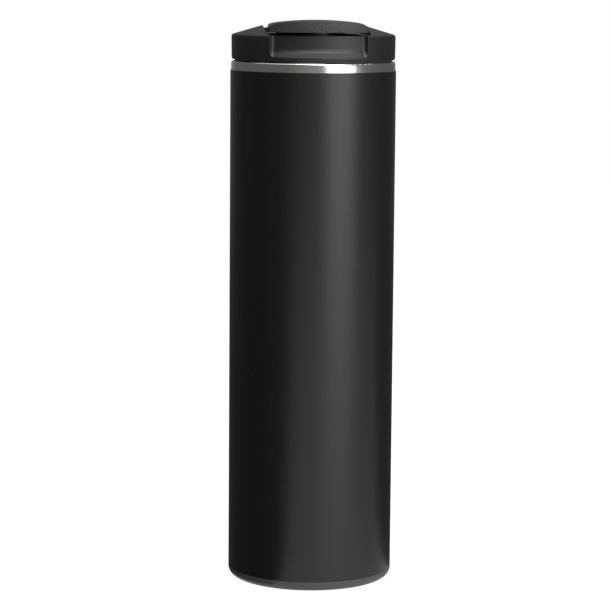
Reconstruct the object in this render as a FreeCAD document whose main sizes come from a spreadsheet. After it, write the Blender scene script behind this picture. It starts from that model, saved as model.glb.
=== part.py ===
"""Slim vacuum flask with a screw lid and a flip-up drinking lever.

Origin: centre of the base, on the surface that the flask stands on. +Z is up, the front of the
lid (its finger scoop) faces -Y and the lever hinge is at the back, towards +Y. Millimetres.
"""
import FreeCAD, Part
import math
import os
import Sketcher
from FreeCAD import Vector

doc = FreeCAD.newDocument("vacuum_flask")

# ---------------------------------------------------------------- driving dimensions
DIMENSIONS = {
    # overall sizes
    "flask_radius": 36.5,        # outside of the coated body
    "base_height": 4.4,          # base cap, up to the seam under the outer shell
    "coat_top": 226.4,           # top edge of the coated outer shell
    "band_height": 4.0,          # bare steel band above the coat
    "band_inset": 0.35,          # band radius under the coated radius
    # steel walls
    "shell_wall": 0.6,
    "liner_bore": 32.3,          # inside radius of the liner
    "liner_wall": 0.4,
    "mouth_wall": 0.6,
    "mouth_round": 1.0,
    "vacuum_floor_gap": 3.0,     # between the two steel bottoms
    "liner_corner": 6.0,         # inside radius at the liner's floor
    "dish_collar": 2.0,          # straight rim of the liner's floor, up to its weld
    "foil_wall": 0.1,
    "foil_gap": 0.1,
    # base
    "base_round": 3.8,
    "base_floor": 1.6,
    "base_recess": 0.5,          # hollow under the middle of the base
    "base_recess_radius": 26.0,
    "spigot_height": 3.0,        # base cap collar inside the outer shell
    "spigot_wall": 1.8,
    "spigot_gap": 0.2,
    "plate_flange": 4.2,         # welded rim of the closing plate
    "plate_wall": 0.8,
    "platform_inner": 24.0,      # ring on the base cap that carries the tape
    "platform_outer": 30.0,
    "tape_height": 0.7,
    "port_radius": 1.6,
    "bead_radius": 4.0,
    "bead_height": 1.0,
    "bead_round": 0.8,
    "getter_radius": 5.0,
    "getter_height": 1.5,
    "getter_offset": 14.0,
    "clip_wall": 0.4,
    "clip_foot": 7.0,
    "clip_rim": 1.0,
    # thread between liner and plug
    "thread_lead": 9.0,          # rise in one turn
    "thread_turns": 0.75,        # length of each rib
    "thread_root": 2.6,          # rib width where it leaves the wall
    "thread_crest": 1.4,
    "thread_depth": 1.1,
    "thread_play": 0.55,         # rib crest to the opposite wall
    "thread_slack": 0.35,        # axial play under load side
    "thread_margin": 0.8,        # plain wall under the plug's ribs
    "thread_embed": 0.2,         # rib root sunk in its own wall
    # plug and gasket
    "gasket_height": 1.4,
    "gasket_play": 0.3,
    "gasket_outer": 34.6,
    "flange_height": 1.8,
    "flange_outer": 34.7,
    "plug_wall": 2.0,
    "plug_depth": 17.0,          # from the top of the mouth down to the underside of the plug
    "floor_wall": 2.0,
    "foam_gap": 0.3,
    # lid shell
    "lid_radius": 36.1,
    "lid_draft": 0.15,
    "lid_gap": 0.6,              # shadow gap over the steel band
    "lid_side": 10.9,
    "lid_edge_round": 1.0,
    "rim_round": 1.2,
    "shoulder_rise": 4.35,
    "shoulder_run": 14.1,
    "skirt_wall": 1.2,
    "deck_wall": 2.2,
    "hollow_radius": 28.0,
    "channel_side_gap": 1.6,     # channel wall to the lever's side
    "channel_rear": 18.0,        # rear wall of the channel, beside the hinge
    "channel_corner": 3.0,
    "channel_lift": 0.1,         # channel floor over the rim
    # finger scoop
    "scoop_depth": 3.5,
    "scoop_wall_radius": 42.0,
    "scoop_half": 20.1,
    "scoop_floor_in": 4.3,       # floor height over the lid's lower edge, at the wall
    "scoop_floor_out": 1.6,      # and at the outside
    "scoop_corner": 1.2,
    # lever
    "lever_half": 21.0,
    "lever_front": 34.4,
    "lever_front_radius": 43.0,
    "lever_corner": 2.5,
    "lever_gap": 1.3,            # shadow gap over the channel floor
    "lever_rise": 5.35,           # underside to the crown
    "crown_radius": 145.0,       # across the lever
    "crown_length_radius": 350.0,
    "crown_crest": 20.0,         # the crown's crest, in front of the flask's axis
    "crown_edge_drop": 2.85,
    "crown_edge_run": 4.86,
    "lever_base_round": 1.6,
    "lever_edge_round": 0.8,
    "plate_end": 14.5,           # rear end of the wide part
    "lever_rear_half": 19.2,
    "lever_flare": 0.6,          # how far out the side lines have run
    "flare_ahead": 5.0,          # at this distance in front of the lever
    "tongue_half": 15.0,
    "tongue_end": 24.5,
    "core_inset": 1.6,
    "core_corner": 6.0,
    "core_height": 2.0,
    # hinge
    "hinge_y": 22.5,
    "hinge_drop": 2.0,           # hinge axis under the channel floor
    "knuckle_radius": 4.0,
    "pin_radius": 1.2,
    "pin_running": 0.06,
    "pin_press": 0.02,
    "pin_seat": 4.4,             # depth of the hole in each ear
    "pin_end_gap": 0.2,
    "hinge_side_gap": 0.6,
    "recess_floor_gap": 0.6,     # under the knuckle
    "recess_front_gap": 0.6,
    "recess_rear": 31.2,
    "boss_half": 20.0,
    "boss_front": 15.5,
    "boss_rear": 29.0,
    # drinking passage and vent
    "drink_side_gap": 0.25,      # drinking tube to the plug's inner wall
    "drink_bore": 6.4,
    "drink_wall": 2.0,
    "vent_gap": 4.4,             # between the two tubes
    "vent_bore": 1.6,
    "vent_wall": 1.6,
    "tube_lip": 0.4,             # tubes stand proud of the channel floor
    "tube_fit": 0.1,
    "tool_over": 1.0,            # cutting solids stand this far proud of the face they cut
    "stopper_play": 0.4,
    "stopper_reach": 3.9,
    "stopper_skin": 1.4,
    "stopper_flange": 7.6,
    "flange_gap": 0.1,
    "stem_radius": 2.4,
    "vent_reach": 2.4,
    "vent_flange": 2.8,
}

sheet = doc.addObject("Spreadsheet::Sheet", "dim")
for row, (alias, value) in enumerate(DIMENSIONS.items(), start=1):
    sheet.set(f"A{row}", alias)
    sheet.set(f"B{row}", str(value))
    sheet.setAlias(f"B{row}", alias)

# Sizes that follow from the driving ones: name -> formula on the cells above.
DERIVED = {
    "shell_bore": "dim.flask_radius - dim.shell_wall",
    "band_radius": "dim.flask_radius - dim.band_inset",
    "mouth_top": "dim.coat_top + dim.band_height",
    "liner_outer": "dim.liner_bore + dim.liner_wall",
    "plate_low": "dim.base_height + dim.spigot_height",
    "plate_under": "dim.base_height + dim.spigot_height + dim.plate_flange",
    "gasket_top": "dim.coat_top + dim.band_height + dim.gasket_height",
    "plug_radius": "dim.liner_bore - dim.thread_depth - dim.thread_play",
    "plug_low": "dim.coat_top + dim.band_height - dim.plug_depth",
    "lid_low": "dim.coat_top + dim.band_height + dim.lid_gap",
    "channel_half": "dim.lever_half + dim.channel_side_gap",
    "recess_depth": "dim.hinge_drop + dim.knuckle_radius + dim.recess_floor_gap",
    "scoop_axis": "dim.scoop_wall_radius - dim.lid_radius + dim.scoop_depth",
    "lever_front_axis": "dim.lever_front_radius - dim.lever_front",
    "plate_top": "drv.plate_under + dim.plate_wall",
    "liner_floor": "drv.plate_under + dim.plate_wall + dim.vacuum_floor_gap",
    "flange_top": "drv.gasket_top + dim.flange_height",
    "rim_top": "drv.lid_low + dim.lid_side",
    "channel_floor": "drv.lid_low + dim.lid_side + dim.channel_lift",
    "lever_low": "drv.lid_low + dim.lid_side + dim.channel_lift + dim.lever_gap",
    "hinge_z": "drv.lid_low + dim.lid_side + dim.channel_lift - dim.hinge_drop",
    "drink_outer": "dim.drink_bore + dim.drink_wall",
    "drink_y": ("drv.plug_radius - dim.plug_wall - dim.drink_side_gap"
                " - dim.drink_bore - dim.drink_wall"),
    "plug_thread": "drv.plug_low + dim.floor_wall + dim.thread_margin + dim.thread_root / 2",
    # The loaded flanks of the two threads face each other across the axial slack.
    "liner_thread": ("drv.plug_low + dim.floor_wall + dim.thread_margin + dim.thread_root / 2"
                     " + dim.thread_crest + (dim.thread_root - dim.thread_crest)"
                     " * (dim.thread_depth - dim.thread_play) / dim.thread_depth / 2"
                     " + dim.thread_slack"),
    "vent_outer": "dim.vent_bore + dim.vent_wall",
    "vent_y": ("drv.plug_radius - dim.plug_wall - dim.drink_side_gap - 2 * dim.drink_bore"
               " - 2 * dim.drink_wall - dim.vent_gap - dim.vent_bore - dim.vent_wall"),
    "liner_weld": ("drv.plate_under + dim.plate_wall + dim.vacuum_floor_gap + dim.liner_wall"
                   " + dim.liner_corner + dim.dish_collar"),
}
derived = doc.addObject("Spreadsheet::Sheet", "drv")
for row, (alias, formula) in enumerate(DERIVED.items(), start=1):
    derived.set(f"A{row}", alias)
    derived.set(f"B{row}", "=" + formula)
    derived.setAlias(f"B{row}", alias)
doc.recompute()


def val(formula):
    """Number that a formula on the two sheets gives now."""
    result = derived.evalExpression(str(formula))
    return float(getattr(result, "Value", result))


# ---------------------------------------------------------------- sketch helpers
def new_body(label):
    """Empty body whose label names the sub-part."""
    body = doc.addObject("PartDesign::Body", label)
    body.Label = label
    return body


def new_sketch(body, name, role, height=None):
    """Sketch on one of the body's own origin planes, raised by a formula if given."""
    sketch = body.newObject("Sketcher::SketchObject", name)
    plane = next(item for item in body.Origin.OriginFeatures if item.Role == role)
    sketch.AttachmentSupport = (plane, [""])
    sketch.MapMode = "FlatFace"
    if height is not None:
        sketch.setExpression("AttachmentOffset.Base.z", height)
    return sketch


def bind(sketch, constraint, formula):
    """Add one constraint whose size is a formula on the sheets."""
    index = sketch.addConstraint(constraint)
    sketch.setExpression(f"Constraints[{index}]", str(formula))


def pin_point(sketch, geometry, end, corner):
    """Tie one point of the sketch to its two formulas."""
    bind(sketch, Sketcher.Constraint("DistanceX", -1, 1, geometry, end, val(corner[0])), corner[0])
    bind(sketch, Sketcher.Constraint("DistanceY", -1, 1, geometry, end, val(corner[1])), corner[1])


def outline(sketch, corners):
    """Closed outline of straight runs: each corner is (u, v) or (u, v, radius), as formulas."""
    count = len(corners)
    spots = [Vector(val(corner[0]), val(corner[1]), 0) for corner in corners]
    ends, arcs = [], []
    for i, corner in enumerate(corners):
        spot = spots[i]
        if len(corner) == 2:
            ends.append((spot, spot))
            arcs.append(None)
            continue
        radius = val(corner[2])
        back = (spots[i - 1] - spot).normalize()
        ahead = (spots[(i + 1) % count] - spot).normalize()
        half = back.getAngle(ahead) / 2
        ends.append((spot + back * (radius / math.tan(half)), spot + ahead * (radius / math.tan(half))))
        arcs.append((spot + (back + ahead).normalize() * (radius / math.sin(half)), radius))
    lines = [sketch.addGeometry(Part.LineSegment(ends[i][1], ends[(i + 1) % count][0]))
             for i in range(count)]
    for i, corner in enumerate(corners):
        before, after = lines[i - 1], lines[i]
        if arcs[i] is None:
            sketch.addConstraint(Sketcher.Constraint("Coincident", before, 2, after, 1))
            pin_point(sketch, after, 1, corner)
            continue
        centre, radius = arcs[i]
        turn = [math.atan2((end - centre).y, (end - centre).x) for end in ends[i]]
        forward = (turn[1] - turn[0]) % (2 * math.pi) < math.pi
        first, last = turn if forward else reversed(turn)
        arc = sketch.addGeometry(Part.ArcOfCircle(Part.Circle(centre, Vector(0, 0, 1), radius), first, last))
        enter, leave = (1, 2) if forward else (2, 1)
        sketch.addConstraint(Sketcher.Constraint("Tangent", before, 2, arc, enter))
        sketch.addConstraint(Sketcher.Constraint("Tangent", arc, leave, after, 1))
        bind(sketch, Sketcher.Constraint("Radius", arc, radius), corner[2])
        point = sketch.addGeometry(Part.Point(spots[i]), True)
        pin_point(sketch, point, 1, corner)
        sketch.addConstraint(Sketcher.Constraint("PointOnObject", point, 1, before))
        sketch.addConstraint(Sketcher.Constraint("PointOnObject", point, 1, after))


def rectangle(sketch, left, right, low, high):
    """Rectangle between four formulas."""
    outline(sketch, [(left, low), (right, low), (right, high), (left, high)])


def ring(sketch, u, v, *radii):
    """One circle for each radius formula, all round the same centre."""
    for radius in radii:
        circle = sketch.addGeometry(Part.Circle(Vector(val(u), val(v), 0), Vector(0, 0, 1), val(radius)))
        pin_point(sketch, circle, 3, (u, v))
        bind(sketch, Sketcher.Constraint("Radius", circle, val(radius)), radius)


# ---------------------------------------------------------------- feature helpers
def revolve(body, name, corners):
    """Full turn of an outline of (radius, height) corners about +Z."""
    sketch = new_sketch(body, name + "_profile", "XZ_Plane")
    outline(sketch, corners)
    feature = body.newObject("PartDesign::Revolution", name)
    feature.Profile = sketch
    feature.ReferenceAxis = (sketch, ["V_Axis"])
    feature.Angle = 360
    doc.recompute()
    return feature


def pad(body, name, sketch, length, both_ways=False):
    """Pad a sketch by a formula, upwards or half each way."""
    feature = body.newObject("PartDesign::Pad", name)
    feature.Profile = sketch
    feature.Midplane = both_ways
    feature.setExpression("Length", length)
    doc.recompute()
    return feature


def pocket(body, name, sketch, length=None, upwards=False, both_ways=False):
    """Cut a sketch by a formula, or through everything, and prove that it removed material."""
    before = body.Shape.Volume
    feature = body.newObject("PartDesign::Pocket", name)
    feature.Profile = sketch
    feature.Midplane = both_ways
    feature.Reversed = upwards
    if length is None:
        feature.Type = "ThroughAll"
    else:
        feature.setExpression("Length", length)
    doc.recompute()
    if body.Shape.Volume >= before - 1e-6:
        raise RuntimeError(f"{name} cuts nothing")
    return feature


def tube(label, v, low, length, *radii):
    """Straight round piece standing at (0, v): solid with one radius, hollow with two."""
    body = new_body(label)
    sketch = new_sketch(body, label + "_section", "XY_Plane", low)
    ring(sketch, "0", v, *radii)
    pad(body, label + "_pad", sketch, length)
    return body


def thread(body, name, wall, crest, start):
    """Two-start right-hand helical ribs from a wall radius to a crest radius."""
    sketch = new_sketch(body, name + "_section", "XZ_Plane")
    outward = 1 if val(crest) > val(wall) else -1
    root = f"{wall} - {outward} * dim.thread_embed"
    outline(sketch, [
        (root, f"{start} - dim.thread_root / 2"),
        (crest, f"{start} - dim.thread_crest / 2"),
        (crest, f"{start} + dim.thread_crest / 2"),
        (root, f"{start} + dim.thread_root / 2"),
    ])
    rib = body.newObject("PartDesign::AdditiveHelix", name + "_rib")
    rib.Profile = sketch
    rib.ReferenceAxis = (sketch, ["V_Axis"])
    rib.Mode = "pitch-height-angle"
    rib.setExpression("Pitch", "dim.thread_lead")
    rib.setExpression("Height", "dim.thread_lead * dim.thread_turns")
    rib.Angle = 0
    doc.recompute()
    pair = body.newObject("PartDesign::PolarPattern", name + "_starts")
    pair.Originals = [rib]
    pair.Axis = (sketch, ["V_Axis"])
    pair.Angle = 360
    pair.Occurrences = 2
    body.Tip = pair
    doc.recompute()


# ---------------------------------------------------------------- flask
def outer_shell():
    """Coated outer wall, from the base seam to the bare band."""
    body = new_body("outer_shell")
    revolve(body, "outer_wall", [
        ("drv.shell_bore", "dim.base_height"),
        ("dim.flask_radius", "dim.base_height", "dim.shell_wall / 2"),
        ("dim.flask_radius", "dim.coat_top", "dim.band_inset / 2"),
        ("drv.shell_bore", "dim.coat_top"),
    ])
    return body


def inner_liner():
    """Liner tube, its flared mouth and bare band in one drawing, with the neck thread."""
    body = new_body("inner_liner")
    inner_round = "dim.mouth_round - dim.mouth_wall / 2"
    revolve(body, "liner_wall_turn", [
        ("dim.liner_bore", "drv.liner_weld"),
        ("dim.liner_bore", "drv.mouth_top", "dim.mouth_round"),
        ("drv.band_radius", "drv.mouth_top", "dim.mouth_round"),
        ("drv.band_radius", "dim.coat_top"),
        ("drv.band_radius - dim.mouth_wall", "dim.coat_top"),
        ("drv.band_radius - dim.mouth_wall", "drv.mouth_top - dim.mouth_wall", inner_round),
        ("drv.liner_outer", "drv.mouth_top - dim.mouth_wall", inner_round),
        ("drv.liner_outer", "drv.liner_weld"),
    ])
    thread(body, "neck_thread", "dim.liner_bore", "dim.liner_bore - dim.thread_depth", "drv.liner_thread")
    return body


def liner_bottom():
    """Dished floor that is butt welded to the lower end of the liner tube."""
    body = new_body("liner_bottom")
    revolve(body, "liner_dish", [
        ("0", "drv.liner_floor"),
        ("drv.liner_outer", "drv.liner_floor", "dim.liner_corner + dim.liner_wall"),
        ("drv.liner_outer", "drv.liner_weld"),
        ("dim.liner_bore", "drv.liner_weld"),
        ("dim.liner_bore", "drv.liner_floor + dim.liner_wall", "dim.liner_corner"),
        ("0", "drv.liner_floor + dim.liner_wall"),
    ])
    return body


def copper_foil():
    """Radiation foil round the straight part of the liner, inside the vacuum."""
    body = new_body("copper_foil")
    inside = "drv.liner_outer + dim.foil_gap"
    low = "drv.liner_weld"
    high = "drv.liner_thread - dim.thread_root"
    revolve(body, "foil_wrap", [
        (inside, low), (inside + " + dim.foil_wall", low),
        (inside + " + dim.foil_wall", high), (inside, high),
    ])
    return body


def shell_bottom():
    """Closing plate of the vacuum jacket: a flanged disc with the evacuation port."""
    body = new_body("shell_bottom")
    revolve(body, "closing_plate", [
        ("dim.port_radius", "drv.plate_under"),
        ("drv.shell_bore - dim.plate_wall", "drv.plate_under", "dim.plate_wall"),
        ("drv.shell_bore - dim.plate_wall", "drv.plate_low"),
        ("drv.shell_bore", "drv.plate_low"),
        ("drv.shell_bore", "drv.plate_top", "dim.plate_wall * 2"),
        ("dim.port_radius", "drv.plate_top"),
    ])
    return body


def vacuum_seal():
    """Solder bead that fills the evacuation port and buttons over it."""
    body = new_body("vacuum_seal")
    revolve(body, "solder_bead", [
        ("0", "drv.plate_under - dim.bead_height"),
        ("dim.bead_radius", "drv.plate_under - dim.bead_height", "dim.bead_round"),
        ("dim.bead_radius", "drv.plate_under"),
        ("dim.port_radius", "drv.plate_under"),
        ("dim.port_radius", "drv.plate_top"),
        ("0", "drv.plate_top"),
    ])
    return body


def getter_clip():
    """Shallow cup, spot welded to the closing plate, beside the port."""
    body = new_body("getter_clip")
    foot = new_sketch(body, "clip_foot_section", "XY_Plane", "drv.plate_top")
    ring(foot, "dim.getter_offset", "0", "dim.clip_foot")
    pad(body, "clip_foot_pad", foot, "dim.clip_wall")
    rim = new_sketch(body, "clip_rim_section", "XY_Plane", "drv.plate_top + dim.clip_wall")
    ring(rim, "dim.getter_offset", "0", "dim.getter_radius", "dim.getter_radius + dim.clip_wall")
    pad(body, "clip_rim_pad", rim, "dim.clip_rim")
    return body


def getter():
    """Getter pill that lies in its clip."""
    body = new_body("getter")
    section = new_sketch(body, "getter_section", "XY_Plane", "drv.plate_top + dim.clip_wall")
    ring(section, "dim.getter_offset", "0", "dim.getter_radius")
    pad(body, "getter_pad", section, "dim.getter_height")
    return body


def base_cap():
    """Moulded base cover with a collar inside the shell and a ring for the tape."""
    body = new_body("base_cap")
    spigot = "drv.shell_bore - dim.spigot_gap"
    platform = "drv.plate_under - dim.tape_height"
    revolve(body, "cap_moulding", [
        ("0", "dim.base_recess"),
        ("dim.base_recess_radius", "dim.base_recess"),
        ("dim.base_recess_radius", "0"),
        ("dim.flask_radius", "0", "dim.base_round"),
        ("dim.flask_radius", "dim.base_height"),
        (spigot, "dim.base_height"),
        (spigot, "drv.plate_low"),
        (spigot + " - dim.spigot_wall", "drv.plate_low"),
        (spigot + " - dim.spigot_wall", "dim.base_recess + dim.base_floor"),
        ("dim.platform_outer", "dim.base_recess + dim.base_floor"),
        ("dim.platform_outer", platform),
        ("dim.platform_inner", platform),
        ("dim.platform_inner", "dim.base_recess + dim.base_floor"),
        ("0", "dim.base_recess + dim.base_floor"),
    ])
    return body


# ---------------------------------------------------------------- lid
def main_gasket():
    """Flat silicone ring between the mouth and the plug's flange."""
    return tube("main_gasket", "0", "drv.mouth_top", "dim.gasket_height",
                "drv.plug_radius + dim.gasket_play", "dim.gasket_outer")


def lid_plug():
    """Threaded plug: a sleeve with the sealing flange on top."""
    body = new_body("lid_plug")
    inside = "drv.plug_radius - dim.plug_wall"
    low = "drv.plug_low + dim.floor_wall"
    revolve(body, "plug_sleeve", [
        (inside, low),
        ("drv.plug_radius", low),
        ("drv.plug_radius", "drv.gasket_top"),
        ("dim.flange_outer", "drv.gasket_top"),
        ("dim.flange_outer", "drv.flange_top"),
        (inside, "drv.flange_top"),
    ])
    thread(body, "plug_thread", "drv.plug_radius", "drv.plug_radius + dim.thread_depth",
           "drv.plug_thread")
    return body


def plug_floor():
    """Disc that closes the underside of the plug, with the two flow openings."""
    body = new_body("plug_floor")
    section = new_sketch(body, "floor_section", "XY_Plane", "drv.plug_low")
    ring(section, "0", "0", "drv.plug_radius")
    ring(section, "0", "-drv.drink_y", "dim.drink_bore")
    ring(section, "0", "-drv.vent_y", "dim.vent_bore")
    pad(body, "floor_pad", section, "dim.floor_wall")
    return body


def lid_insulation():
    """Foam puck inside the plug, cleared round the two tubes."""
    body = new_body("lid_insulation")
    low = "drv.plug_low + dim.floor_wall"
    section = new_sketch(body, "foam_section", "XY_Plane", low)
    ring(section, "0", "0", "drv.plug_radius - dim.plug_wall - dim.foam_gap")
    pad(body, "foam_pad", section, f"drv.flange_top - dim.foam_gap - ({low})")
    holes = new_sketch(body, "foam_holes", "XY_Plane", low)
    ring(holes, "0", "-drv.drink_y", "drv.drink_outer + dim.foam_gap")
    ring(holes, "0", "-drv.vent_y", "drv.vent_outer + dim.foam_gap")
    pocket(body, "foam_cut", holes, upwards=True)
    return body


def flow_tube(label, y, bore, outer):
    """Moulded tube from the plug's floor to a low lip over the channel floor."""
    low = "drv.plug_low + dim.floor_wall"
    return tube(label, y, low, f"drv.channel_floor + dim.tube_lip - ({low})", bore, outer)


def lid_shell():
    """Outer lid moulding: shoulders, lever channel, hinge recess and finger scoop."""
    body = new_body("lid_shell")
    skirt = "dim.lid_radius - dim.lid_draft - dim.skirt_wall"
    crest = "drv.rim_top + dim.shoulder_rise"
    revolve(body, "lid_turning", [
        ("0", "drv.channel_floor - dim.deck_wall"),
        ("dim.hollow_radius", "drv.channel_floor - dim.deck_wall"),
        ("dim.hollow_radius", "drv.flange_top"),
        (skirt, "drv.flange_top"),
        (skirt, "drv.lid_low"),
        ("dim.lid_radius - dim.lid_draft", "drv.lid_low", "dim.lid_edge_round"),
        ("dim.lid_radius", "drv.rim_top", "dim.rim_round"),
        ("dim.lid_radius - dim.shoulder_run", crest),
        ("0", crest),
    ])
    boss = new_sketch(body, "hinge_boss_section", "XY_Plane", "drv.flange_top")
    rectangle(boss, "-dim.boss_half", "dim.boss_half", "dim.boss_front", "dim.boss_rear")
    pad(body, "hinge_boss", boss, "drv.channel_floor - dim.deck_wall / 2 - drv.flange_top")
    channel = new_sketch(body, "channel_section", "XY_Plane", "drv.channel_floor")
    ahead = "-(dim.lid_radius + dim.tool_over)"
    outline(channel, [
        ("-drv.channel_half", ahead), ("drv.channel_half", ahead),
        ("drv.channel_half", "dim.channel_rear", "dim.channel_corner"),
        ("-drv.channel_half", "dim.channel_rear", "dim.channel_corner"),
    ])
    pocket(body, "lever_channel", channel, upwards=True)
    recess_floor = "drv.channel_floor - drv.recess_depth"
    recess = new_sketch(body, "recess_section", "XY_Plane", recess_floor)
    side = "dim.tongue_half + dim.hinge_side_gap"
    front = "dim.hinge_y - dim.knuckle_radius - dim.recess_front_gap"
    rectangle(recess, f"-({side})", side, front, "dim.recess_rear")
    pocket(body, "hinge_recess", recess, upwards=True)
    pin_hole = new_sketch(body, "pin_hole_section", "YZ_Plane")
    ring(pin_hole, "dim.hinge_y", "drv.hinge_z", "dim.pin_radius + dim.pin_press")
    pocket(body, "pin_holes", pin_hole, f"2 * ({side} + dim.pin_seat)", both_ways=True)
    flow = new_sketch(body, "flow_hole_section", "XY_Plane", "drv.channel_floor")
    ring(flow, "0", "-drv.drink_y", "drv.drink_outer + dim.tube_fit")
    ring(flow, "0", "-drv.vent_y", "drv.vent_outer + dim.tube_fit")
    pocket(body, "flow_holes", flow)
    finger_scoop(body)
    return body


def finger_scoop(body):
    """Hollow under the lever's lip, turned about an upright axis inside the lid."""
    before = body.Shape.Volume
    sketch = new_sketch(body, "scoop_profile", "YZ_Plane")
    wall = "-(dim.lid_radius - dim.scoop_depth)"
    outside = "-(dim.lid_radius + dim.scoop_depth)"
    inner = "drv.lid_low + dim.scoop_floor_in"
    outer = "drv.lid_low + 2 * dim.scoop_floor_out - dim.scoop_floor_in"
    above = "drv.channel_floor + dim.lever_gap + dim.shoulder_rise"
    outline(sketch, [
        (wall, inner, "dim.scoop_corner"),
        (outside, outer),
        (outside, above),
        (wall, above),
    ])
    place, length = val("drv.scoop_axis"), val("dim.lid_side")
    axis = sketch.addGeometry(Part.LineSegment(Vector(place, 0, 0), Vector(place, length, 0)), True)
    sketch.addConstraint(Sketcher.Constraint("Vertical", axis))
    pin_point(sketch, axis, 1, ("drv.scoop_axis", "0"))
    sketch.addConstraint(Sketcher.Constraint("DistanceY", axis, 1, axis, 2, length))
    feature = body.newObject("PartDesign::Groove", "finger_scoop")
    feature.Profile = sketch
    feature.ReferenceAxis = (sketch, ["Axis0"])
    feature.Midplane = True
    feature.setExpression("Angle", "2 * asin(dim.scoop_half / dim.scoop_wall_radius)")
    doc.recompute()
    if body.Shape.Volume >= before - 1:
        raise RuntimeError("the finger scoop cuts nothing")


def hinge_pin():
    """Steel pin across the lid, held in both ears."""
    body = new_body("hinge_pin")
    section = new_sketch(body, "pin_section", "YZ_Plane")
    ring(section, "dim.hinge_y", "drv.hinge_z", "dim.pin_radius")
    pad(body, "pin_pad", section,
        "2 * (dim.tongue_half + dim.hinge_side_gap + dim.pin_seat - dim.pin_end_gap)", both_ways=True)
    return body


# ---------------------------------------------------------------- lever
def lever_core():
    """Rigid lever plate with the hinge knuckle and the holes for the stoppers."""
    body = new_body("lever_core")
    half = "dim.lever_half - dim.core_inset"
    rear_half = "dim.lever_rear_half - dim.core_inset"
    front = "-(dim.lever_front - 2 * dim.core_inset)"
    tongue = "dim.tongue_half"
    plate = new_sketch(body, "core_plate_section", "XY_Plane", "drv.lever_low")
    end = "dim.plate_end - dim.core_inset"
    chamfer = "dim.core_corner"
    outline(plate, [
        (f"-({rear_half})", end), (f"-({half})", f"{front} + {chamfer}"),
        (f"-({half}) + {chamfer}", front), (f"{half} - {chamfer}", front),
        (half, f"{front} + {chamfer}"), (rear_half, end),
        (tongue, end), (tongue, "dim.tongue_end"),
        (f"-{tongue}", "dim.tongue_end"), (f"-{tongue}", end),
    ])
    pad(body, "core_plate", plate, "dim.core_height")
    web = new_sketch(body, "knuckle_web_section", "YZ_Plane")
    rectangle(web, "dim.hinge_y - dim.knuckle_radius", "dim.tongue_end",
              "drv.hinge_z", "drv.lever_low + dim.core_height")
    pad(body, "knuckle_web", web, "2 * dim.tongue_half", both_ways=True)
    barrel = new_sketch(body, "knuckle_section", "YZ_Plane")
    ring(barrel, "dim.hinge_y", "drv.hinge_z", "dim.knuckle_radius")
    pad(body, "knuckle", barrel, "2 * dim.tongue_half", both_ways=True)
    bore = new_sketch(body, "knuckle_bore_section", "YZ_Plane")
    ring(bore, "dim.hinge_y", "drv.hinge_z", "dim.pin_radius + dim.pin_running")
    pocket(body, "knuckle_bore", bore, both_ways=True)
    stems = new_sketch(body, "stem_hole_section", "XY_Plane", "drv.lever_low")
    ring(stems, "0", "-drv.drink_y", "dim.stem_radius")
    ring(stems, "0", "-drv.vent_y", "dim.vent_bore - dim.stopper_play")
    pocket(body, "stem_holes", stems, upwards=True)
    return body


def lever_cover(*inside):
    """Soft-touch moulding: crowned both ways, moulded over the core and the stems in it."""
    across = new_body("lever_across")
    front_view = new_sketch(across, "front_view", "XZ_Plane")
    crown = f"drv.lever_low + dim.lever_rise"
    low = "drv.lever_low"
    half = "dim.lever_half"
    edge = f"{crown} - dim.crown_edge_drop"
    outline(front_view, [
        (f"-{half}", low, "dim.lever_base_round"), (half, low, "dim.lever_base_round"),
        (half, edge, "dim.lever_edge_round"),
        (f"{half} - dim.crown_edge_run", crown, "dim.lever_edge_round"),
        (f"dim.crown_edge_run - {half}", crown, "dim.lever_edge_round"),
        (f"-{half}", edge, "dim.lever_edge_round"),
    ])
    pad(across, "across_pad", front_view, "4 * dim.lever_front", both_ways=True)

    plan = new_body("lever_plan")
    top_view = new_sketch(plan, "top_view", "XY_Plane", f"{low} - dim.tool_over")
    tongue = "dim.tongue_half"
    outline(top_view, [
        ("-dim.lever_rear_half", "dim.plate_end", "dim.lever_corner"),
        (f"-({half} + dim.lever_flare)", "-(dim.lever_front + dim.flare_ahead)"),
        (f"{half} + dim.lever_flare", "-(dim.lever_front + dim.flare_ahead)"),
        ("dim.lever_rear_half", "dim.plate_end", "dim.lever_corner"),
        (tongue, "dim.plate_end"), (tongue, "dim.tongue_end"),
        (f"-{tongue}", "dim.tongue_end"), (f"-{tongue}", "dim.plate_end"),
    ])
    pad(plan, "plan_pad", top_view, "dim.lever_rise + 2 * dim.tool_over")

    nose = tube("lever_nose", "drv.lever_front_axis", f"{low} - dim.tool_over",
                "dim.lever_rise + 2 * dim.tool_over",
                "dim.lever_front_radius")
    cross_crown = cylinder("crown_across", "dim.crown_radius", "0",
                           f"{crown} - dim.crown_radius", "XZ_Plane")
    long_crown = cylinder("crown_along", "dim.crown_length_radius", "-dim.crown_crest",
                          f"{crown} - dim.crown_length_radius", "YZ_Plane")
    form = doc.addObject("Part::MultiCommon", "lever_form")
    form.Shapes = [across, plan, nose, cross_crown, long_crown]
    doc.recompute()
    filling = doc.addObject("Part::MultiFuse", "cover_filling")
    filling.Shapes = list(inside)
    cut = doc.addObject("Part::Cut", "lever_cover")
    cut.Base = form
    cut.Tool = filling
    cut.Label = "lever_cover"
    doc.recompute()
    return cut


def cylinder(label, radius, across, height, role):
    """Long lying cylinder that crowns the lever: its axis crosses the given plane."""
    body = new_body(label)
    section = new_sketch(body, label + "_section", role)
    ring(section, across, height, radius)
    pad(body, label + "_pad", section, "4 * dim.lever_front", both_ways=True)
    return body


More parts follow.
